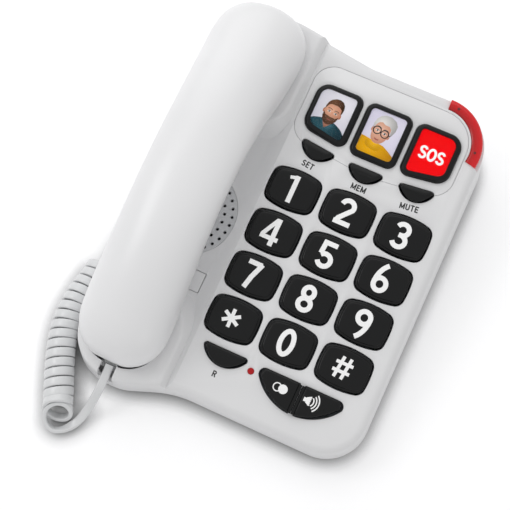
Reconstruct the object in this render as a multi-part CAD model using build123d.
from build123d import *
import os
from functools import partial
from math import cos, sin, tan, radians, pi

# A corded desk telephone with large keys, made as separate pieces, in millimetres.
# World frame: X to the right, Y to the back, Z up, origin under the middle of the body on the table.
# Face frame: x to the right, y up the sloping face, z out of the face, origin at the middle of the
# twelve number keys, on the surface of the deck.  Heights in the face frame are called levels.

# ---------------------------------------------------------------- driving dimensions: base
BODY_WIDTH = 167.0
BODY_LENGTH = 226.0
FACE_TILT = 8.0             # slope of the key face, in degrees
FACE_HEIGHT = 34.0          # height of the deck at the middle of the number keys
KEYS_FROM_RIGHT = 57.0      # middle of the number keys, from the right flank and from the rear
KEYS_FROM_REAR = 130.0
WALL = 2.4
DECK_FRONT = 10.5           # how far the front edge stands back from the cradle's front
DECK_REAR = 6.5             # how far the rear edge stands back from the cradle's rear
CRADLE_FRONT = (36.5, 63.5)  # from the left flank, where the front edge leaves the cradle and meets the deck
CRADLE_REAR = (43.0, 89.0)
LIP_HEIGHT = 9.0            # lower edge of the top cover above the table
BODY_TOP = 64.0             # above every surface of the base
FLANK_DRAFT = 3.5           # slope of the right and front flanks, in degrees
REAR_DRAFT = 4.0            # slope of the left and rear flanks, in degrees
DECK_ROUND = 5.0
VALLEY_DEPTH = 6.0          # how far the hollow under the handset's grip lies below the deck
VALLEY_EDGE_OFF = 35.0      # from the handset's centre line to where the deck ends and the hollow begins
VALLEY_FOOT_OFF = 27.0
VALLEY_ROUND = 9.0
NEST_TOP = 4.0              # level of the rims round the handset's two ends
NEST_ROUND = 3.0
NEST_FLOOR_LEVEL = -11.3    # floor of both nests
EAR_RIM = (37.0, 30.0)      # foot and top of each rim, from the handset's centre line
EAR_RAMP = (21.0, 12.0)     # foot and top of each rim, from the cap that it holds
EAR_RIM_CORNER = 16.0
MOUTH_RIM = (36.0, 29.5)
MOUTH_RAMP = (14.0, 6.0)
MOUTH_RIM_CORNER = 22.0

# ---------------------------------------------------------------- driving dimensions: handset
HANDSET_FROM_LEFT = 27.0    # centre line of the handset, from the cradle's left flank
HANDSET_WALL = 2.2
CAP_WIDTH = 42.0            # the ear and mouth caps that sit in the nests
CAP_LEVEL = -11.0           # underside of both caps
CAP_CLEARANCE = 1.3         # between a cap and its nest
CAP_CORNER = 18.0
EAR_CAP = (79.0, 125.0)     # from and to, up the face
MOUTH_CAP = (-87.3, -46.0)
KNEE = NEST_TOP + 1.5       # underside of the handset beside its caps
PARTING_OVERLAP = 1.0       # how far each hollow passes the parting line
CAP_OVERLAP = 0.5           # how far a cap runs into what it hangs from
# Stations up the handset: place, half width, half width of the floor, floor, parting line and back.
HANDSET_STATIONS = [
    (-87.3, 8.0, 4.6, KNEE, 9.0, 13.0),
    (-86.0, 12.0, 9.8, KNEE, 9.2, 17.5),
    (-83.0, 17.0, 14.8, KNEE, 9.5, 22.5),
    (-78.0, 21.5, 18.9, KNEE, 10.0, 27.5),
    (-70.0, 24.7, 21.4, KNEE, 11.0, 32.0),
    (-60.0, 25.5, 21.8, KNEE, 13.0, 35.6),
    (-47.0, 25.3, 21.8, KNEE, 17.0, 39.2),
    (-38.0, 25.0, 21.5, 10.0, 19.5, 41.0),
    (-25.0, 24.6, 21.0, 15.0, 23.5, 42.8),
    (-5.0, 24.2, 20.3, 18.7, 28.5, 44.5),
    (20.0, 24.1, 20.0, 20.0, 31.0, 45.2),
    (45.0, 24.4, 20.3, 18.7, 28.5, 44.3),
    (62.0, 25.2, 21.5, 14.5, 23.0, 42.4),
    (73.0, 26.0, 21.8, 9.0, 18.0, 40.3),
    (80.0, 26.5, 22.0, KNEE, 15.2, 38.8),
    (92.0, 27.1, 22.4, KNEE, 11.5, 35.0),
    (104.0, 27.1, 22.4, KNEE, 10.0, 31.3),
    (114.0, 25.0, 20.3, KNEE, 10.0, 27.5),
    (121.0, 20.0, 15.6, KNEE, 10.0, 23.5),
    (124.8, 14.0, 9.0, KNEE, 10.0, 19.5),
    (127.0, 7.5, 4.6, KNEE + 1.0, 10.0, 14.5),
]
HANDSET_SCREWS = (-54.0, 33.0)
RECEIVER_PLACE = (0.0, 102.0)
RECEIVER_RADIUS = 17.0
RECEIVER_DEPTH = 8.0
EAR_HOLE_PITCH = 5.0
MIC_PLACE = (11.0, -66.0)
MIC_RADIUS = 4.8
MIC_DEPTH = 5.0
SOUND_HOLE = 1.0
WEIGHT_PLACE = 1.0
WEIGHT_LENGTH = 54.0
WEIGHT_WIDTH = 18.0
WEIGHT_HEIGHT = 5.0
WEIGHT_PLAY = 1.1           # the floor under the weight is bowed
LEAD_LEVEL = 0.5            # the cord leaves the handset's end at this level

# ---------------------------------------------------------------- driving dimensions: keys
KEY_PITCH_X = 32.5
KEY_PITCH_Y = 26.1
KEY_WIDTH = 29.0
KEY_HEIGHT = 23.2
KEY_BULGE_SIDE = 0.9        # how far the sides bow outwards
KEY_BULGE_END = 2.3         # how far the top and bottom edges bow outwards
KEY_CORNER = 5.0
KEY_RISE = 3.0              # top of a number key above the deck
KEY_EDGE_ROUND = 1.4
SMALL_KEY_RISE = 2.4
PHOTO_KEY_RISE = 2.6
KEY_GAP = 0.45              # between a key and the edge of its hole
KEY_FLANGE = 1.0            # how far the flange under the deck stands out
KEY_FLANGE_THICKNESS = 1.2
KEY_PLAY = 0.2              # between the flange and the underside of the deck
KEY_WALL = 1.5
KEY_TRAVEL = 1.5
KEY_POST_RADIUS = 2.5
KEY_POST_LENGTH = 1.0       # how far the post reaches below the flange, beyond the travel
PHOTO_PITCH = 29.7
PHOTO_MIDDLE_X = -0.7
PHOTO_WIDTH = 26.6
PHOTO_TOP = 102.5
PHOTO_BOTTOM = 70.8
PHOTO_SMILE = 4.0           # how much higher the outer corners of the outer keys are
PHOTO_CORNER_OUTER = 7.5
PHOTO_CORNER_INNER = 4.8
PICTURE_FRAME = 2.9         # width of the black frame round a picture
PICTURE_DEPTH = 1.3
PICTURE_PLAY = 0.05
CARD_THICKNESS = 0.4
WINDOW_THICKNESS = 0.8
PICTURES = {"photo_key_left": "photo_left", "photo_key_middle": "photo_middle", "sos_key": "sos"}
SMALL_KEY_WIDTH = 20.6
SMALL_KEY_DEPTH = 7.9
SMALL_KEY_CORNER = 1.4
SMALL_KEYS = {"set_key": (-29.5, 67.3, -6.5), "mem_key": (-0.5, 65.9, 0.0), "mute_key": (28.9, 67.3, 6.5)}
RECALL_PLACE = (-28.8, -55.8)
RECALL_WIDTH = 26.6
RECALL_DEPTH = 9.2
PAIR_X = 16.3               # the redial and loudspeaker keys, middle of their straight edge
PAIR_TOP = -56.0
PAIR_WIDTH = 52.6
PAIR_DEPTH = 16.8
PAIR_CORNER = 3.0
PAIR_SPLIT = 3.4            # between the two keys, where their flanges pass each other
DOME_HEIGHT = 1.2
DOME_RADIUS = 4.0
DOME_PLAY = 0.3             # left over a dome when its key is down
MAT_THICKNESS = 1.0
MAT_INSET = 1.0
BOARD_THICKNESS = 1.6
BOARD_WIDTH = 88.0
BOARD_FRONT = -76.0
BOARD_REAR = 108.0
BOARD_CORNER = 8.0
BOARD_SCREW_RADIUS = 1.0
BOARD_SCREW_LENGTH = 7.0
STANDOFF_RADIUS = 2.0

# ---------------------------------------------------------------- driving dimensions: other pieces
PANEL_THICKNESS = 1.2
PANEL_OVER = 0.3            # how far the panel passes the deck's edge beside the hollow
PANEL_FOOT = 62.0
PANEL_SMILE = 5.0
PANEL_CORNER = 12.0
PANEL_MARGIN = 1.2          # deck left between the panel and the curved lamp
PANEL_PLAY = 0.08
LAMP_CENTRE = (27.5, 95.5)
LAMP_INNER = 19.6
LAMP_OUTER = 25.8
LAMP_START = -12.0          # the band runs round the corner between two angles
LAMP_END = 92.0
LAMP_END_WALL = 4.0         # how far the band's seat passes its ends, in degrees
LAMP_DEPTH = 2.0
LAMP_SKIN = 1.6
LAMP_SKIRT = 6.0            # how far the band reaches down the flank
LAMP_LED_RADIUS = 1.4
LAMP_LED_HEIGHT = 3.5
LED_PLAY = 0.08
LED_PLACE = (-12.3, -60.7)
LED_RADIUS = 1.8
LED_RISE = 0.6
LED_ROUND = 0.5
GRILLE_PLACE = (3.0, 8.1)   # from the handset's centre line
GRILLE_RADIUS = 25.2
GRILLE_PLAY = 0.15
GRILLE_THICKNESS = 2.0
GRILLE_PITCH = 4.5
GRILLE_HOLE = 0.9
GRILLE_RINGS = 5
SEAT_WIDTH = 2.2            # ring under the hollow that carries the grille and the loudspeaker
SEAT_DEPTH = 2.5
SPEAKER_RADIUS = 25.0
SPEAKER_FRAME = 1.5
SPEAKER_DEPTH = 10.0
MAGNET_RADIUS = 13.0
FOOT_HEIGHT = 3.0
FOOT_RADIUS = 7.0
FOOT_SUNK = 0.8             # how deep a foot sits in the bottom cover
FOOT_FROM_RIGHT = 23.5
FOOT_FROM_LEFT = 21.5
FOOT_FROM_FRONT = 29.0
FOOT_FROM_REAR = 23.0
TRAY_INSET = 1.6            # how far the bottom cover stands back from the top cover
TRAY_FLOOR = 2.5            # thickness of the bottom cover's floor
BALLAST_SIZE = (70.0, 90.0)
BALLAST_PLACE = (10.0, -15.0)
BALLAST_THICKNESS = 2.5
BOSS_RADIUS = 3.0
BOSS_OVERLAP = 1.0
BOSS_FROM_FLANKS = [(7.2, 38.0), (7.2, 47.0), (8.0, 80.0), (7.5, 57.0)]
SCREW_RADIUS = 1.3
SCREW_HEAD_RADIUS = 2.6
SCREW_HEAD_HEIGHT = 1.5
SCREW_LENGTH = 10.0
SCREW_PLAY = 0.05
HEAD_SUNK = 0.2             # a handset screw's head inside the handset's underside
SLOT_WIDTH = 0.6
FIT = 0.3                   # general clearance between fitted pieces
PLUG_WIDTH = 7.65           # 4-way handset cord plug
PLUG_HEIGHT = 6.6
PLUG_LENGTH = 11.5
PLUG_LATCH = 1.6
PLUG_OUT = 1.2              # how far a plug stands out of its socket
PLUG_PLAY = 0.15
JACK_WALL = 1.6
JACK_FROM_REAR = 77.0       # middle of the handset cord's socket in the base
JACK_Z = 18.0
RECESS_DEPTH = 13.5         # of the pocket in the left flank round that socket
RECESS_REACH = (16.0, 14.0)  # from the socket's middle to the pocket's two ends
RECESS_CEILING = 25.0
NOTCH_WIDTH = 9.0           # in the cradle's front rim, for the cord
NOTCH_LEVEL = -4.0
LINE_PLUG_WIDTH = 9.65      # 6-way line plug
LINE_PLUG_HEIGHT = 6.65
LINE_JACK_FROM_RIGHT = 37.0
LINE_JACK_Z = 23.0
LINE_JACK_DEPTH = 14.0
TAB_FROM_HANDSET = (19.8, -27.7)
TAB_WIDTH = 12.0
TAB_LENGTH = 11.6
TAB_THICKNESS = 1.4
HOOK_PLACE = 90.0           # up the face, in the ear nest
HOOK_TRAVEL = 4.0
HOOK_WIDTH = 8.0
HOOK_HEIGHT = 6.0
HOOK_FLANGE = 1.2
HOOK_SUNK = 0.05            # the plunger's top below the nest's floor, with the handset down
HOOK_WALL = 1.5
HOOK_BODY_DEPTH = 10.0

# ---------------------------------------------------------------- driving dimensions: cord
CORD_WIDTH = 4.8            # flat four-wire cord
COIL_RADIUS = 8.4
ARC_SHARE = 0.45            # of the shorter run, that an arc takes up
ROUTE_LEFT = -83.5          # flanks that the three routes are drawn from
ROUTE_REAR = 113.0
LEAD_ROUTE = [
    (-56.5, -105.05, 22.1), (-56.2, -114.0, 20.0), (-57.6, -121.5, 14.5), (-60.0, -130.0, 7.0),
    (-62.9, -139.5, 3.2), (-66.5, -146.3, 2.7),
]
COIL_ROUTE = [
    (-72.0, -145.2, 8.5), (-78.9, -127.8, 8.5), (-86.4, -111.5, 8.5), (-92.7, -95.3, 8.5),
    (-94.4, -81.3, 8.5), (-93.8, -69.5, 8.5), (-92.6, -59.6, 8.5), (-92.2, -52.0, 8.5),
]
TAIL_ROUTE = [
    (-92.0, -54.0, 2.7), (-90.7, -42.0, 2.5), (-89.4, -27.0, 2.5), (-88.6, -12.0, 2.6), (-88.9, 3.0, 3.2),
    (-88.8, 15.5, 6.4), (-86.8, 26.5, 12.0), (-80.3, 34.8, 17.3), (-71.8, 36.0, 18.0),
]

# ---------------------------------------------------------------- places that follow from them
RIGHT = BODY_WIDTH / 2
REAR = BODY_LENGTH / 2
KEYS_X = RIGHT - KEYS_FROM_RIGHT
KEYS_Y = REAR - KEYS_FROM_REAR
HANDSET_X = HANDSET_FROM_LEFT - RIGHT - KEYS_X
VALLEY_EDGE = HANDSET_X + VALLEY_EDGE_OFF
VALLEY_FOOT = HANDSET_X + VALLEY_FOOT_OFF
PANEL_LEFT = VALLEY_EDGE - PANEL_OVER
JACK_Y = REAR - JACK_FROM_REAR
RECESS_FRONT = JACK_Y - RECESS_REACH[0]
RECESS_REAR = JACK_Y + RECESS_REACH[1]
LINE_JACK_X = RIGHT - LINE_JACK_FROM_RIGHT
HOOK_CENTRE = (HANDSET_X, HOOK_PLACE)
CORD_SHIFT = (-RIGHT - ROUTE_LEFT, REAR - ROUTE_REAR)
GRILLE_CENTRE = (HANDSET_X + GRILLE_PLACE[0], GRILLE_PLACE[1])
TAB_PLACE = (HANDSET_X + TAB_FROM_HANDSET[0], TAB_FROM_HANDSET[1])
TILT = radians(FACE_TILT)
FACE = Plane(origin=(KEYS_X, KEYS_Y, FACE_HEIGHT), x_dir=(1, 0, 0), z_dir=(0, -sin(TILT), cos(TILT)))
TRAY_BOTTOM = FOOT_HEIGHT - FOOT_SUNK
TRAY_INSIDE = TRAY_BOTTOM + TRAY_FLOOR
FLANGE_TOP = -WALL - KEY_PLAY
FLANGE_BOTTOM = FLANGE_TOP - KEY_FLANGE_THICKNESS
POST_BOTTOM = FLANGE_BOTTOM - KEY_TRAVEL - KEY_POST_LENGTH
DOME_TOP = POST_BOTTOM - KEY_TRAVEL - DOME_PLAY
MAT_TOP = DOME_TOP - DOME_HEIGHT
BOARD_TOP = MAT_TOP - MAT_THICKNESS
SEAT_BOTTOM = -VALLEY_DEPTH - GRILLE_THICKNESS - SEAT_DEPTH
FAR = 400.0

parts = {}


def prism(outline, low, high):
    """A straight block on a flat outline, between two heights."""
    return Pos(0, 0, low) * extrude(outline, high - low)


def rounded(corners, radii):
    """A closed outline with a radius at each corner."""
    return make_face(FilletPolyline(*corners, radius=radii, close=True))


def face_box(low, high):
    """A box in the face frame between two opposite corners."""
    size = [b - a for a, b in zip(low, high)]
    middle = [(a + b) / 2 for a, b in zip(low, high)]
    return Pos(*middle) * Box(*size)


def below(level):
    """All space under a level of the face frame, as a block in the world frame."""
    return FACE * face_box((-FAR, -FAR, -FAR), (FAR, FAR, level))


def across(profile, low, high):
    """A profile drawn in x and z, carried along y from low to high."""
    return extrude(Plane.XZ.offset(-high) * profile, high - low)


# ---------------------------------------------------------------- base: outside form
def base_outline(height, inset):
    """Plan of the base at a height: a rounded rectangle whose left side, the cradle, is longer."""
    rise = height - LIP_HEIGHT
    steep = rise * tan(radians(REAR_DRAFT)) + inset
    sloped = rise * tan(radians(FLANK_DRAFT)) + inset
    right, left = RIGHT - sloped, -RIGHT + steep
    rear, deck_rear = REAR - steep, REAR - DECK_REAR - steep
    front, deck_front = -REAR + sloped, -REAR + DECK_FRONT + sloped
    corners = [
        (right, deck_front), (right, deck_rear), (CRADLE_REAR[1] - RIGHT, deck_rear), (CRADLE_REAR[0] - RIGHT, rear),
        (left, rear), (left, front), (CRADLE_FRONT[0] - RIGHT, front), (CRADLE_FRONT[1] - RIGHT, deck_front),
    ]
    radii = [24.0 - inset, 26.0 - inset, 60.0, 40.0, 24.0 - steep, 27.0 - steep, 30.0, 60.0]
    return rounded(corners, radii)


def base_block(inset):
    """The drafted flanks of the base, from the lip to above the nests."""
    foot = LIP_HEIGHT - inset
    low = Pos(0, 0, foot) * base_outline(foot, inset)
    high = Pos(0, 0, BODY_TOP) * base_outline(BODY_TOP, inset)
    return loft([low, high], ruled=True)


def nest_block(low_corners, high_corners, radii, inset):
    """A rim round one end of the handset: wider at its foot than at its top."""
    foot = -VALLEY_DEPTH - 4.0
    top = NEST_TOP - inset
    low = Pos(0, 0, foot) * rounded(low_corners, radii)
    high = Pos(0, 0, top) * rounded(high_corners, radii)
    return FACE * loft([low, high], ruled=True)


def ear_nest(inset):
    foot_right, top_right = HANDSET_X + EAR_RIM[0] - inset, HANDSET_X + EAR_RIM[1] - inset
    foot_low, top_low = EAR_CAP[0] - EAR_RAMP[0] + inset, EAR_CAP[0] - EAR_RAMP[1] + inset
    low = [(foot_right, foot_low), (foot_right, FAR), (-FAR, FAR), (-FAR, foot_low)]
    high = [(top_right, top_low), (top_right, FAR), (-FAR, FAR), (-FAR, top_low)]
    return nest_block(low, high, [EAR_RIM_CORNER, 1.0, 1.0, 1.0], inset)


def mouth_nest(inset):
    foot_right, top_right = HANDSET_X + MOUTH_RIM[0] - inset, HANDSET_X + MOUTH_RIM[1] - inset
    foot_high, top_high = MOUTH_CAP[1] + MOUTH_RAMP[0] - inset, MOUTH_CAP[1] + MOUTH_RAMP[1] - inset
    low = [(foot_right, foot_high), (foot_right, -FAR), (-FAR, -FAR), (-FAR, foot_high)]
    high = [(top_right, top_high), (top_right, -FAR), (-FAR, -FAR), (-FAR, top_high)]
    return nest_block(low, high, [MOUTH_RIM_CORNER, 1.0, 1.0, 1.0], inset)


def base_envelope(inset, rounding):
    """Deck, hollow and the two nests as one block; the inset one is the space inside the shell."""
    block = base_block(inset)
    deck = block & below(-inset)
    if rounding:
        rim = deck.faces().sort_by(Axis((0, 0, 0), FACE.z_dir))[-1].edges()
        deck = fillet(rim, DECK_ROUND)
    edge, foot = VALLEY_EDGE + inset / 2, VALLEY_FOOT + inset     # the steep part is a thinner wall
    depth = VALLEY_DEPTH + inset
    over = rounded([(edge, FAR), (edge, 0), (foot, -depth), (-FAR, -depth), (-FAR, FAR)],
                   [0, 0, VALLEY_ROUND, 0, 0])
    deck -= FACE * across(over, -FAR, FAR)
    low = block & below(-depth)
    if rounding:
        rim = low.faces().sort_by(Axis((0, 0, 0), FACE.z_dir))[-1].edges()
        low = fillet(rim.filter_by(lambda e: e.center().X < KEYS_X + VALLEY_FOOT), NEST_ROUND)
    whole = deck + low
    for nest in (ear_nest(inset), mouth_nest(inset)):
        rim_block = nest & block
        if rounding:
            rim = rim_block.faces().sort_by(Axis((0, 0, 0), FACE.z_dir))[-1].edges()
            rim_block = fillet(rim, NEST_ROUND)
        whole += rim_block
    return whole


# ---------------------------------------------------------------- outlines of the keys
# Each outline function ends with grow, by which the outline stands out all round.
def number_key_outline(x, y, grow):
    """A barrel-shaped key: four bowed sides with rounded corners."""
    right, top = KEY_WIDTH / 2 + grow, KEY_HEIGHT / 2 + grow
    side, end = right - KEY_BULGE_SIDE, top - KEY_BULGE_END
    edges = [
        ThreePointArc((side, -end), (right, 0), (side, end)),
        ThreePointArc((side, end), (0, top), (-side, end)),
        ThreePointArc((-side, end), (-right, 0), (-side, -end)),
        ThreePointArc((-side, -end), (0, -top), (side, -end)),
    ]
    outline = make_face(edges)
    return Pos(x, y) * fillet(outline.vertices(), KEY_CORNER + grow)


def photo_key_outline(side, grow):
    """Picture key; side is -1, 0 or 1, and the outer ones follow a smile-shaped line."""
    middle = PHOTO_MIDDLE_X + side * PHOTO_PITCH
    left, right = middle - PHOTO_WIDTH / 2 - grow, middle + PHOTO_WIDTH / 2 + grow
    top, bottom = PHOTO_TOP + grow, PHOTO_BOTTOM - grow
    low_left = bottom + (PHOTO_SMILE if side < 0 else 0)
    low_right = bottom + (PHOTO_SMILE if side > 0 else 0)
    outer, inner = PHOTO_CORNER_OUTER + grow, PHOTO_CORNER_INNER + grow
    radii = [outer if side < 0 else inner, outer if side > 0 else inner,
             outer if side > 0 else inner, outer if side < 0 else inner]
    return rounded([(left, top), (right, top), (right, low_right), (left, low_left)], radii)


def half_moon(x, y, width, depth, tilt, corner, grow):
    """Key with a straight top edge and a round lower edge; x, y is the middle of the top edge."""
    chord = Line((-width / 2, 0), (width / 2, 0))
    bow = ThreePointArc((width / 2, 0), (0, -depth), (-width / 2, 0))
    outline = make_face([chord, bow])
    return Pos(x, y) * (Rot(0, 0, tilt) * grown(fillet(outline.vertices(), corner), grow))


def grown(outline, grow):
    return offset(outline, grow) if grow else outline


def pair_half(side, grow):
    """Left or right half of the large half-moon that the redial and loudspeaker keys share."""
    whole = half_moon(PAIR_X, PAIR_TOP, PAIR_WIDTH, PAIR_DEPTH, 0, PAIR_CORNER, 0)
    half = Rectangle(PAIR_WIDTH, 4 * PAIR_DEPTH)
    shift = side * (PAIR_WIDTH + PAIR_SPLIT) / 2
    return grown(whole & (Pos(PAIR_X + shift, PAIR_TOP) * half), grow)


def key_table():
    """Every key: its outline, height above the deck and where its post stands."""
    keys = {}
    names = ["1", "2", "3", "4", "5", "6", "7", "8", "9", "star", "0", "hash"]
    for index, name in enumerate(names):
        x, y = (index % 3 - 1) * KEY_PITCH_X, (1.5 - index // 3) * KEY_PITCH_Y
        keys["key_" + name] = (partial(number_key_outline, x, y), KEY_RISE, (x, y))
    for side, name in ((-1, "photo_key_left"), (0, "photo_key_middle"), (1, "sos_key")):
        post = (PHOTO_MIDDLE_X + side * PHOTO_PITCH, (PHOTO_TOP + PHOTO_BOTTOM) / 2)
        keys[name] = (partial(photo_key_outline, side), PHOTO_KEY_RISE, post)
    for name, (x, y, tilt) in SMALL_KEYS.items():
        outline = partial(half_moon, x, y, SMALL_KEY_WIDTH, SMALL_KEY_DEPTH, tilt, SMALL_KEY_CORNER)
        keys[name] = (outline, SMALL_KEY_RISE, (x, y - SMALL_KEY_DEPTH / 2))
    x, y = RECALL_PLACE
    outline = partial(half_moon, x, y, RECALL_WIDTH, RECALL_DEPTH, 0, SMALL_KEY_CORNER)
    keys["recall_key"] = (outline, SMALL_KEY_RISE, (x, y - RECALL_DEPTH / 2))
    for side, name in ((-1, "redial_key"), (1, "speaker_key")):
        post = (PAIR_X + side * PAIR_WIDTH / 5, PAIR_TOP - PAIR_DEPTH / 3)
        keys[name] = (partial(pair_half, side), SMALL_KEY_RISE, post)
    return keys


def make_key(outline, rise, post, picture):
    """A hollow key cap with a flange that keeps it under the deck and a post over its dome."""
    cap = prism(outline(0), FLANGE_BOTTOM, rise)
    cap = fillet(cap.faces().sort_by(Axis.Z)[-1].edges(), KEY_EDGE_ROUND)
    cap += prism(outline(KEY_GAP + KEY_FLANGE), FLANGE_BOTTOM, FLANGE_TOP)
    ceiling = rise - KEY_WALL - (PICTURE_DEPTH if picture else 0)
    cap -= prism(outline(-KEY_WALL), FLANGE_BOTTOM, ceiling)
    cap += Pos(*post) * prism(Circle(KEY_POST_RADIUS), POST_BOTTOM, ceiling)
    if picture:
        cap -= prism(outline(-PICTURE_FRAME), rise - PICTURE_DEPTH, rise)
    return cap


def picture_layer(outline, low, thickness):
    """The card or the clear window that lies in a picture key's frame."""
    return prism(outline(-PICTURE_FRAME - PICTURE_PLAY), low, low + thickness)


# ---------------------------------------------------------------- base: what is cut and added
def nest_outline(cap, grow):
    """Plan of a nest, from the cap that sits in it."""
    low, high = cap
    size = CAP_CLEARANCE + grow
    outline = RectangleRounded(CAP_WIDTH + 2 * size, high - low + 2 * size, CAP_CORNER + size)
    return Pos(HANDSET_X, (low + high) / 2) * outline


def recess(grow):
    """The pocket in the left flank where the handset cord plugs in."""
    low = (-RIGHT - RECESS_DEPTH, RECESS_FRONT - grow, LIP_HEIGHT + WALL - grow)
    high = (-RIGHT + RECESS_DEPTH + grow, RECESS_REAR + grow, RECESS_CEILING + grow)
    return face_box(low, high)


def lamp_sector(inner, outer, spread):
    """Plan of the curved band at the rear right corner."""
    ring = Circle(outer) - Circle(inner)
    start, end = radians(LAMP_START - spread), radians(LAMP_END + spread)
    reach = 3 * outer
    wedge = make_face(Polyline((0, 0), (reach * cos(start), reach * sin(start)), (reach, reach),
                               (reach * cos(end), reach * sin(end)), close=True))
    return Pos(*LAMP_CENTRE) * (ring & wedge)


def lamp_space(play):
    """What the clear red band takes out of the cover: a top plate and a skirt down the flank."""
    plate = prism(lamp_sector(LAMP_INNER + play, 2 * LAMP_OUTER, -play), play - LAMP_DEPTH, LAMP_OUTER)
    skirt = prism(lamp_sector(LAMP_OUTER - LAMP_SKIN + play, 2 * LAMP_OUTER, -play), play - LAMP_SKIRT, 0)
    return FACE * (plate + skirt)


def lamp_led_places():
    """Three small lamps spaced along the middle of the curved band."""
    radius = (LAMP_INNER + LAMP_OUTER - LAMP_SKIN) / 2
    angles = [radians(LAMP_START + share * (LAMP_END - LAMP_START)) for share in (0.15, 0.5, 0.85)]
    return [(LAMP_CENTRE[0] + radius * cos(a), LAMP_CENTRE[1] + radius * sin(a)) for a in angles]


def panel_outline():
    """Plan of the panel that the picture keys stand in."""
    reach = LAMP_INNER - PANEL_MARGIN
    right, top = LAMP_CENTRE[0] + reach, LAMP_CENTRE[1] + reach
    corners = [(PANEL_LEFT, top), (right, top), (right, PANEL_FOOT + PANEL_SMILE), (0.0, PANEL_FOOT),
               (PANEL_LEFT, PANEL_FOOT + PANEL_SMILE)]
    return rounded(corners, [PANEL_CORNER, reach, PANEL_CORNER, 2 * LAMP_OUTER, PANEL_CORNER])


def rear_wall(height):
    """Outside of the rear flank behind the keys, at a height."""
    return REAR - DECK_REAR - (height - LIP_HEIGHT) * tan(radians(REAR_DRAFT))


def line_jack_space(grow, out):
    """Space of the line plug, opened by grow and reaching out behind the rear flank."""
    half_x, half_z = LINE_PLUG_WIDTH / 2 + grow, LINE_PLUG_HEIGHT / 2 + grow
    rear = rear_wall(LINE_JACK_Z)
    return face_box((LINE_JACK_X - half_x, rear - LINE_JACK_DEPTH, LINE_JACK_Z - half_z),
                    (LINE_JACK_X + half_x, rear + out, LINE_JACK_Z + half_z))


def standoffs():
    return [(i * KEY_PITCH_X / 2, j * KEY_PITCH_Y) for i in (-1, 1) for j in (-1, 1)]


def inside_additions():
    """Cups, seats, bosses and standoffs that hang from the inside of the top cover."""
    cups = FACE * prism(nest_outline(EAR_CAP, WALL), NEST_FLOOR_LEVEL - WALL, NEST_TOP)
    cups += FACE * prism(nest_outline(MOUTH_CAP, WALL), NEST_FLOOR_LEVEL - WALL, NEST_TOP)
    cups += recess(WALL)
    cups += FACE * (Pos(*GRILLE_CENTRE) * prism(Circle(GRILLE_RADIUS + SEAT_WIDTH), SEAT_BOTTOM, 0))
    cups += FACE * prism(lamp_sector(LAMP_INNER - WALL, 2 * LAMP_OUTER, LAMP_END_WALL), -LAMP_DEPTH - WALL, 0)
    cups += FACE * prism(lamp_sector(LAMP_OUTER - LAMP_SKIN - WALL, 2 * LAMP_OUTER, LAMP_END_WALL),
                         -LAMP_SKIRT - WALL, 0)
    for x, y in boss_places():
        cups += Pos(x, y) * prism(Circle(BOSS_RADIUS), LIP_HEIGHT, BODY_TOP)
    for x, y in standoffs():
        cups += FACE * (Pos(x, y) * prism(Circle(STANDOFF_RADIUS), BOARD_TOP, 0))
    return cups


def make_top_cover(keys):
    """The one-piece shell: deck, hollow, both nests and the flanks."""
    outside = base_envelope(0, True)
    cover = outside - (base_envelope(WALL, False) - inside_additions())
    for x, y in boss_places():
        cover += Pos(x, y) * prism(Circle(BOSS_RADIUS), TRAY_INSIDE, LIP_HEIGHT)
        cover -= Pos(x, y) * prism(Circle(SCREW_RADIUS + SCREW_PLAY), 0, TRAY_BOTTOM + SCREW_LENGTH + 1)
    for x, y in standoffs():
        cover -= FACE * (Pos(x, y) * prism(Circle(BOARD_SCREW_RADIUS + SCREW_PLAY), BOARD_TOP,
                                           BOARD_TOP + BOARD_SCREW_LENGTH))
    for cap in (EAR_CAP, MOUTH_CAP):
        cover -= FACE * prism(nest_outline(cap, 0), NEST_FLOOR_LEVEL, BODY_TOP)
    notch = face_box((HANDSET_X - NOTCH_WIDTH / 2, -FAR, NOTCH_LEVEL),
                     (HANDSET_X + NOTCH_WIDTH / 2, MOUTH_CAP[0] + NOTCH_WIDTH, BODY_TOP))
    cover -= FACE * notch
    cover -= recess(0)
    cover -= plug_hole(-RIGHT + RECESS_DEPTH - 1, -RIGHT + RECESS_DEPTH + WALL + 1)
    cover -= line_jack_space(FIT, LINE_JACK_DEPTH)
    grille = FACE * Pos(*GRILLE_CENTRE)
    cover -= grille * prism(Circle(GRILLE_RADIUS + GRILLE_PLAY), -VALLEY_DEPTH - GRILLE_THICKNESS, 0)
    cover -= grille * prism(Circle(GRILLE_RADIUS - SEAT_WIDTH), SEAT_BOTTOM - 1, 0)
    cover -= FACE * prism(panel_outline(), -PANEL_THICKNESS, 1)
    for outline, rise, post in keys.values():
        cover -= FACE * prism(outline(KEY_GAP), -2 * WALL, 1)
    cover -= FACE * (Pos(*LED_PLACE) * prism(Circle(LED_RADIUS + LED_PLAY), -2 * WALL, 1))
    cover -= lamp_space(0)
    for place in lamp_led_places():
        cover -= FACE * (Pos(*place) * prism(Circle(LAMP_LED_RADIUS + LED_PLAY), -LAMP_DEPTH - 2 * WALL, 0))
    cover -= FACE * (Pos(*HOOK_CENTRE) * prism(Rectangle(HOOK_WIDTH + 2 * FIT, HOOK_HEIGHT + 2 * FIT),
                                               NEST_FLOOR_LEVEL - 2 * WALL, 0))
    cover -= FACE * (Pos(*TAB_PLACE) * prism(Rectangle(TAB_WIDTH + FIT, TAB_LENGTH + FIT),
                                             -VALLEY_DEPTH - TAB_THICKNESS, -VALLEY_DEPTH + 1))
    return cover


def make_lamp_lens():
    """Clear red band that carries on the rounded corner of the cover."""
    return lamp_space(LED_PLAY) & base_envelope(0, True)


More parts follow.
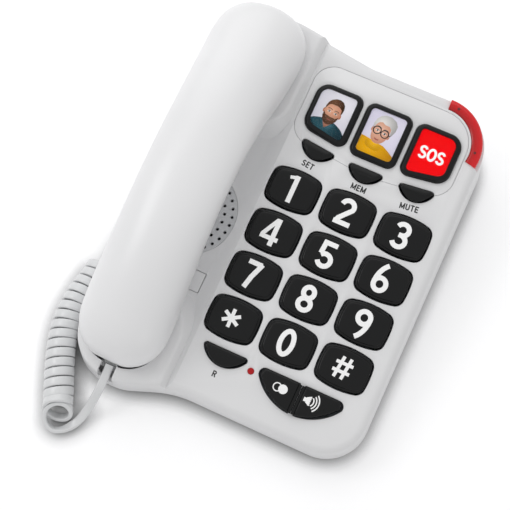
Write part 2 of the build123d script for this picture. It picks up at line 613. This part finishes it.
def foot_places():
    right, left = RIGHT - FOOT_FROM_RIGHT, FOOT_FROM_LEFT - RIGHT
    front, rear = FOOT_FROM_FRONT - REAR, REAR - FOOT_FROM_REAR
    return [(right, front), (right, rear), (left, front), (left, rear)]


def boss_places():
    """Front right, rear right, front left and rear left, each from its own two flanks."""
    sides = [(1, -1), (1, 1), (-1, -1), (-1, 1)]
    return [(x * (RIGHT - from_side), y * (REAR - from_end))
            for (x, y), (from_side, from_end) in zip(sides, BOSS_FROM_FLANKS)]


def make_bottom_cover():
    """Tray that closes the base, with the screw seats and the feet's pockets."""
    tray = prism(base_outline(LIP_HEIGHT, TRAY_INSET), TRAY_BOTTOM, LIP_HEIGHT)
    tray -= prism(base_outline(LIP_HEIGHT, TRAY_INSET + WALL), TRAY_INSIDE, LIP_HEIGHT)
    for x, y in boss_places():
        tray -= Pos(x, y) * prism(Circle(SCREW_RADIUS + SCREW_PLAY), 0, LIP_HEIGHT)
        tray -= Pos(x, y) * prism(Circle(SCREW_HEAD_RADIUS + FIT), 0, TRAY_BOTTOM + SCREW_HEAD_HEIGHT)
    for x, y in foot_places():
        tray -= Pos(x, y) * prism(Circle(FOOT_RADIUS), 0, FOOT_HEIGHT)
    return tray


def make_screw(radius, length):
    """Self-tapping screw with a flat round head and a cross slot, its head's top at zero."""
    screw = prism(Circle(SCREW_HEAD_RADIUS), 0, SCREW_HEAD_HEIGHT) + prism(Circle(radius), 0, length)
    slot = prism(Rectangle(2 * SCREW_RADIUS, SLOT_WIDTH), 0, SCREW_HEAD_HEIGHT / 2)
    return screw - slot - Rot(0, 0, 90) * slot


def make_board():
    """Circuit board under the deck, with a hole at each standoff and each post's contact above."""
    board = prism(board_outline(0), BOARD_TOP - BOARD_THICKNESS, BOARD_TOP)
    for x, y in standoffs():
        board -= Pos(x, y) * prism(Circle(BOARD_SCREW_RADIUS + SCREW_PLAY), BOARD_TOP - BOARD_THICKNESS, BOARD_TOP)
    return board


def board_outline(inset):
    width, length = BOARD_WIDTH - 2 * inset, BOARD_REAR - BOARD_FRONT - 2 * inset
    return Pos(0, (BOARD_FRONT + BOARD_REAR) / 2) * RectangleRounded(width, length, BOARD_CORNER)


def make_mat(keys):
    """Silicone sheet on the board with a dome under every key."""
    mat = prism(board_outline(MAT_INSET), BOARD_TOP, MAT_TOP)
    for outline, rise, post in keys.values():
        mat += Pos(*post) * prism(Circle(DOME_RADIUS), MAT_TOP, DOME_TOP)
    for x, y in standoffs():
        mat -= Pos(x, y) * prism(Circle(STANDOFF_RADIUS + FIT), BOARD_TOP, MAT_TOP)
    mat -= Pos(*LED_PLACE) * prism(Circle(LED_RADIUS + FIT), BOARD_TOP, MAT_TOP)
    return mat


def make_in_use_lamp():
    lamp = prism(Circle(LED_RADIUS), BOARD_TOP, LED_RISE)
    return Pos(*LED_PLACE) * fillet(lamp.faces().sort_by(Axis.Z)[-1].edges(), LED_ROUND)


def grille_holes():
    """Rings of sound holes, each ring with as many as its radius asks for."""
    places = [(0.0, 0.0)]
    for ring in range(1, GRILLE_RINGS + 1):
        places += ring_places(6 * ring, ring * GRILLE_PITCH)
    return places


def ring_places(count, radius):
    return [(radius * cos(2 * pi * k / count), radius * sin(2 * pi * k / count)) for k in range(count)]


def make_grille():
    disc = prism(Circle(GRILLE_RADIUS), -VALLEY_DEPTH - GRILLE_THICKNESS, -VALLEY_DEPTH)
    holes = Sketch() + [Pos(*place) * Circle(GRILLE_HOLE) for place in grille_holes()]
    return Pos(*GRILLE_CENTRE) * (disc - prism(holes, -VALLEY_DEPTH - GRILLE_THICKNESS, -VALLEY_DEPTH))


def make_loudspeaker():
    """Round frame against its seat, a cone basket behind it and a magnet."""
    frame = prism(Circle(SPEAKER_RADIUS), SEAT_BOTTOM - SPEAKER_FRAME, SEAT_BOTTOM)
    basket_top = SEAT_BOTTOM - SPEAKER_FRAME
    basket_bottom = basket_top - SPEAKER_DEPTH / 2
    basket = loft([Pos(0, 0, basket_top) * Circle(SPEAKER_RADIUS - SEAT_WIDTH),
                   Pos(0, 0, basket_bottom) * Circle(MAGNET_RADIUS)])
    magnet = prism(Circle(MAGNET_RADIUS), basket_top - SPEAKER_DEPTH, basket_bottom)
    return Pos(*GRILLE_CENTRE) * (frame + basket + magnet)


def make_hook_plunger():
    """Stem that the handset holds down, with a flange that stops it under the nest's floor."""
    top = NEST_FLOOR_LEVEL - HOOK_SUNK
    flange_top = NEST_FLOOR_LEVEL - WALL - HOOK_TRAVEL - FIT
    flange_bottom = flange_top - HOOK_FLANGE
    stem = prism(Rectangle(HOOK_WIDTH, HOOK_HEIGHT), flange_bottom, top)
    flange = prism(Rectangle(HOOK_WIDTH + 2 * HOOK_FLANGE, HOOK_HEIGHT + 2 * HOOK_FLANGE), flange_bottom, flange_top)
    return Pos(*HOOK_CENTRE) * (stem + flange)


def make_hook_body():
    """Box under the nest's floor that guides the plunger's flange."""
    top = NEST_FLOOR_LEVEL - WALL
    inner = Rectangle(HOOK_WIDTH + 2 * HOOK_FLANGE + 2 * FIT, HOOK_HEIGHT + 2 * HOOK_FLANGE + 2 * FIT)
    body = prism(offset(inner, HOOK_WALL, kind=Kind.INTERSECTION), top - HOOK_BODY_DEPTH, top)
    return Pos(*HOOK_CENTRE) * (body - prism(inner, top - HOOK_BODY_DEPTH + HOOK_WALL, top))


# ---------------------------------------------------------------- plugs and jacks
def make_plug():
    """Modular plug lying along y with its cord end at the origin."""
    plug = face_box((-PLUG_WIDTH / 2, 0, -PLUG_HEIGHT / 2), (PLUG_WIDTH / 2, PLUG_LENGTH, PLUG_HEIGHT / 2 - PLUG_LATCH))
    latch = face_box((-PLUG_LATCH, PLUG_OUT, PLUG_HEIGHT / 2 - PLUG_LATCH),
                     (PLUG_LATCH, PLUG_LENGTH, PLUG_HEIGHT / 2))
    return plug + latch


def plug_hole(low, high):
    """The hole for the base's plug through what lies between two places across."""
    half_y, half_z = PLUG_WIDTH / 2 + PLUG_PLAY, PLUG_HEIGHT / 2 + PLUG_PLAY
    return face_box((low, JACK_Y - half_y, JACK_Z - half_z), (high, JACK_Y + half_y, JACK_Z + half_z))


def make_base_jack():
    """Socket block behind the wall of the cord recess."""
    start = -RIGHT + RECESS_DEPTH + WALL
    end = -RIGHT + RECESS_DEPTH - PLUG_OUT + PLUG_LENGTH
    half_y, half_z = PLUG_WIDTH / 2 + PLUG_PLAY + JACK_WALL, PLUG_HEIGHT / 2 + PLUG_PLAY + JACK_WALL
    block = face_box((start, JACK_Y - half_y, JACK_Z - half_z),
                     (end + JACK_WALL + PLUG_PLAY, JACK_Y + half_y, JACK_Z + half_z))
    return block - plug_hole(start, end + PLUG_PLAY)


def make_line_jack():
    """Socket block behind the rear flank for the telephone line."""
    half_x, half_z = LINE_PLUG_WIDTH / 2 + JACK_WALL + FIT, LINE_PLUG_HEIGHT / 2 + JACK_WALL + FIT
    rear = rear_wall(LINE_JACK_Z)
    block = face_box((LINE_JACK_X - half_x, rear - LINE_JACK_DEPTH - JACK_WALL, LINE_JACK_Z - half_z),
                     (LINE_JACK_X + half_x, rear, LINE_JACK_Z + half_z))
    return (block & base_block(WALL)) - line_jack_space(FIT, LINE_JACK_DEPTH)


# ---------------------------------------------------------------- handset
def handset_row(place):
    """The station values at any place up the handset."""
    place = min(max(place, HANDSET_STATIONS[0][0]), HANDSET_STATIONS[-1][0])
    for low, high in zip(HANDSET_STATIONS, HANDSET_STATIONS[1:]):
        if place <= high[0]:
            share = (place - low[0]) / (high[0] - low[0])
            return [a + share * (b - a) for a, b in zip(low, high)]


def inner_row(place):
    """The same values for the space inside the handset, a wall away on all sides."""
    near = [handset_row(place + step) for step in (-HANDSET_WALL, 0, HANDSET_WALL)]
    half = min(row[1] for row in near) - HANDSET_WALL
    floor_half = min(row[2] for row in near) - HANDSET_WALL
    floor = max(row[3] for row in near) + HANDSET_WALL
    top = min(row[5] for row in near) - HANDSET_WALL
    return [place, half, floor_half, min(floor, near[1][4] - FIT), near[1][4], top]


def inner_rows():
    """The outer stations that lie inside the end walls, and one at each end wall."""
    low, high = HANDSET_STATIONS[0][0] + HANDSET_WALL, HANDSET_STATIONS[-1][0] - HANDSET_WALL
    places = [low] + [row[0] for row in HANDSET_STATIONS if low + 1 < row[0] < high - 1] + [high]
    return [inner_row(place) for place in places]


def back_section(row, lower):
    """Upper half of the handset across: a half ellipse on the parting line."""
    place, half, floor_half, floor, parting, top = row
    bow = EllipticalCenterArc((0, parting), half, top - parting, arc_size=180)
    if lower:
        foot = parting - lower
        base = Polyline((-half, parting), (-half, foot), (half, foot), (half, parting))
    else:
        base = Line((-half, parting), (half, parting))
    return Plane.XZ.offset(-place) * make_face([bow, base])


def face_section(row, raised):
    """Lower half of the handset across: its floor, sloping sides and the parting line."""
    place, half, floor_half, floor, parting, top = row
    points = [(-half, parting + raised), (half, parting + raised), (floor_half, floor), (-floor_half, floor)]
    return Plane.XZ.offset(-place) * make_face(Polyline(*points, close=True))


def cap_outline(cap, inset):
    low, high = cap
    width, length = CAP_WIDTH - 2 * inset, high - low - 2 * inset
    return Pos(0, (low + high) / 2) * RectangleRounded(width, length, CAP_CORNER - inset)


def handset_shells():
    """The back shell and the face shell with its two caps, each hollow and open at the parting line."""
    rows = inner_rows()
    back = loft([back_section(row, 0) for row in HANDSET_STATIONS], ruled=True)
    room = loft([back_section(row, PARTING_OVERLAP) for row in rows], ruled=True)
    for y in HANDSET_SCREWS:
        room -= Pos(0, y) * prism(Circle(BOSS_RADIUS), handset_row(y)[4] - PARTING_OVERLAP - 1, handset_row(y)[5])
    back -= room
    face = loft([face_section(row, 0) for row in HANDSET_STATIONS], ruled=True)
    hollow = loft([face_section(row, PARTING_OVERLAP) for row in rows], ruled=True)
    for cap in (EAR_CAP, MOUTH_CAP):
        face += prism(cap_outline(cap, 0), CAP_LEVEL, KNEE + CAP_OVERLAP)
        hollow += prism(cap_outline(cap, HANDSET_WALL), CAP_LEVEL + HANDSET_WALL, KNEE + HANDSET_WALL + CAP_OVERLAP)
    return back, face - hollow


def handset_floor(y):
    """Underside of the handset at a place on its centre line."""
    if MOUTH_CAP[0] < y < MOUTH_CAP[1] or EAR_CAP[0] < y < EAR_CAP[1]:
        return CAP_LEVEL
    return handset_row(y)[3]


def make_handset():
    """Both shells of the handset and everything that they hold, about the handset's centre line."""
    back, face = handset_shells()
    screws = []
    for y in HANDSET_SCREWS:
        floor = handset_floor(y)
        seat = floor + HANDSET_WALL
        back += Pos(0, y) * prism(Circle(BOSS_RADIUS), seat, handset_row(y)[4] + BOSS_OVERLAP)
        back -= Pos(0, y) * prism(Circle(SCREW_RADIUS + SCREW_PLAY), seat, floor + SCREW_LENGTH + 1)
        face -= Pos(0, y) * prism(Circle(BOSS_RADIUS + FIT), seat, handset_row(y)[4])
        face -= Pos(0, y) * prism(Circle(SCREW_RADIUS + SCREW_PLAY), floor - 1, seat)
        head = floor + HEAD_SUNK
        face -= Pos(0, y) * prism(Circle(SCREW_HEAD_RADIUS + FIT), floor - 1, head + SCREW_HEAD_HEIGHT)
        screws.append(Pos(0, y, head) * make_screw(SCREW_RADIUS, SCREW_LENGTH))
    cap_top = CAP_LEVEL + HANDSET_WALL
    ear_holes = [(0.0, 0.0)] + ring_places(6, EAR_HOLE_PITCH) + ring_places(12, 2 * EAR_HOLE_PITCH)
    for x, y in ear_holes:
        face -= Pos(RECEIVER_PLACE[0] + x, RECEIVER_PLACE[1] + y) * prism(Circle(SOUND_HOLE), CAP_LEVEL, cap_top)
    for step in (-1, 0, 1):
        face -= Pos(MIC_PLACE[0] + step * 3 * SOUND_HOLE, MIC_PLACE[1]) * prism(Circle(SOUND_HOLE), CAP_LEVEL, cap_top)
    half_x, half_z = PLUG_WIDTH / 2 + PLUG_PLAY, PLUG_HEIGHT / 2 + PLUG_PLAY
    plug_start = MOUTH_CAP[0] - PLUG_OUT
    plug_end = plug_start + PLUG_LENGTH + PLUG_PLAY
    hole = face_box((-half_x, plug_start - 1, LEAD_LEVEL - half_z), (half_x, plug_end, LEAD_LEVEL + half_z))
    face -= hole
    wall = MOUTH_CAP[0] + HANDSET_WALL + CAP_OVERLAP
    jack = face_box((-half_x - JACK_WALL / 2, wall, LEAD_LEVEL - half_z - JACK_WALL / 2),
                    (half_x + JACK_WALL / 2, plug_end + JACK_WALL, LEAD_LEVEL + half_z + JACK_WALL / 2)) - hole
    weight_floor = handset_floor(WEIGHT_PLACE) + HANDSET_WALL + WEIGHT_PLAY
    weight = face_box((-WEIGHT_WIDTH / 2, WEIGHT_PLACE - WEIGHT_LENGTH / 2, weight_floor),
                      (WEIGHT_WIDTH / 2, WEIGHT_PLACE + WEIGHT_LENGTH / 2, weight_floor + WEIGHT_HEIGHT))
    return {
        "handset_back_shell": back,
        "handset_face_shell": face,
        "handset_screws": screws,
        "handset_jack": jack,
        "handset_weight": weight,
        "earpiece_receiver": Pos(*RECEIVER_PLACE) * prism(Circle(RECEIVER_RADIUS), cap_top, cap_top + RECEIVER_DEPTH),
        "microphone": Pos(*MIC_PLACE) * prism(Circle(MIC_RADIUS), cap_top, cap_top + MIC_DEPTH),
        "cord_plug_handset": Pos(0, plug_start, LEAD_LEVEL) * make_plug(),
    }


# ---------------------------------------------------------------- cord
def cord_tube(route, radius, name):
    """A plain tube along straight runs joined by arcs; prints its radii and compares its volume."""
    points = [Vector(x + CORD_SHIFT[0], y + CORD_SHIFT[1], z) for x, y, z in route]
    runs = [b - a for a, b in zip(points, points[1:])]
    radii = []
    for before, after in zip(runs, runs[1:]):
        half_turn = radians(before.get_angle(after)) / 2
        radii.append(ARC_SHARE * min(before.length, after.length) / tan(half_turn))
    path = FilletPolyline(*points, radius=radii)
    start = Plane(origin=points[0], z_dir=runs[0])
    tube = sweep(start * Circle(radius), path=path)
    expected = pi * radius ** 2 * path.length
    print(name, "arc radii", [round(r, 1) for r in radii], "length", round(path.length, 1),
          "volume share", round(tube.volume / expected, 4))
    return tube


# ---------------------------------------------------------------- everything
def build_base():
    keys = key_table()
    base_screw = make_screw(SCREW_RADIUS, SCREW_LENGTH)
    board_screw = make_screw(BOARD_SCREW_RADIUS, BOARD_SCREW_LENGTH)
    board_bottom = BOARD_TOP - BOARD_THICKNESS
    parts["base_top_cover"] = make_top_cover(keys)
    parts["base_bottom_cover"] = make_bottom_cover()
    parts["base_screws"] = [Pos(x, y, TRAY_BOTTOM) * base_screw for x, y in boss_places()]
    parts["rubber_feet"] = [Pos(x, y) * prism(Circle(FOOT_RADIUS - SCREW_PLAY), 0, FOOT_HEIGHT)
                            for x, y in foot_places()]
    parts["ballast_plate"] = Pos(*BALLAST_PLACE, TRAY_INSIDE) * prism(Rectangle(*BALLAST_SIZE), 0, BALLAST_THICKNESS)
    parts["main_board"] = FACE * make_board()
    parts["board_screws"] = [FACE * (Pos(x, y, board_bottom - SCREW_HEAD_HEIGHT) * board_screw)
                             for x, y in standoffs()]
    parts["keypad_mat"] = FACE * make_mat(keys)
    holes = Sketch() + [outline(KEY_GAP) for outline, rise, post in keys.values()]
    parts["memory_panel"] = FACE * prism(offset(panel_outline(), -PANEL_PLAY) - holes, -PANEL_THICKNESS, 0)
    parts["ring_lamp_lens"] = make_lamp_lens()
    lamp_led = prism(Circle(LAMP_LED_RADIUS), -LAMP_DEPTH - LAMP_LED_HEIGHT, -LAMP_DEPTH)
    parts["ring_lamp_leds"] = [FACE * (Pos(*place) * lamp_led) for place in lamp_led_places()]
    parts["in_use_lamp"] = FACE * make_in_use_lamp()
    parts["speaker_grille"] = FACE * make_grille()
    parts["loudspeaker"] = FACE * make_loudspeaker()
    parts["hook_switch_plunger"] = FACE * make_hook_plunger()
    parts["hook_switch_body"] = FACE * make_hook_body()
    parts["handset_hanger_tab"] = FACE * (Pos(*TAB_PLACE) * prism(Rectangle(TAB_WIDTH, TAB_LENGTH),
                                                                  -VALLEY_DEPTH - TAB_THICKNESS, -VALLEY_DEPTH))
    parts["line_jack"] = make_line_jack()
    parts["base_cord_jack"] = make_base_jack()
    for name, (outline, rise, post) in keys.items():
        picture = name in PICTURES
        parts[name] = FACE * make_key(outline, rise, post, picture)
        if picture:
            bed = rise - PICTURE_DEPTH
            label = PICTURES[name]
            parts[label + "_card"] = FACE * picture_layer(outline, bed, CARD_THICKNESS)
            parts[label + "_window"] = FACE * picture_layer(outline, bed + CARD_THICKNESS, WINDOW_THICKNESS)


def build_handset():
    for name, piece in make_handset().items():
        if isinstance(piece, list):
            parts[name] = [FACE * (Pos(HANDSET_X, 0) * one) for one in piece]
        else:
            parts[name] = FACE * (Pos(HANDSET_X, 0) * piece)


def build_cord():
    plug_face = -RIGHT + RECESS_DEPTH - PLUG_OUT
    parts["cord_plug_base"] = Pos(plug_face, JACK_Y, JACK_Z) * (Rot(0, 0, -90) * make_plug())
    parts["cord_lead"] = cord_tube(LEAD_ROUTE, CORD_WIDTH / 2, "cord_lead")
    parts["cord_coil"] = cord_tube(COIL_ROUTE, COIL_RADIUS, "cord_coil")
    parts["cord_tail"] = cord_tube(TAIL_ROUTE, CORD_WIDTH / 2, "cord_tail")


build_base()
build_handset()
build_cord()
os.makedirs("parts", exist_ok=True)
for name, piece in parts.items():
    solids = piece if isinstance(piece, list) else [piece]
    export_step(Compound(children=[s for one in solids for s in one.solids()]), "parts/" + name + ".step")
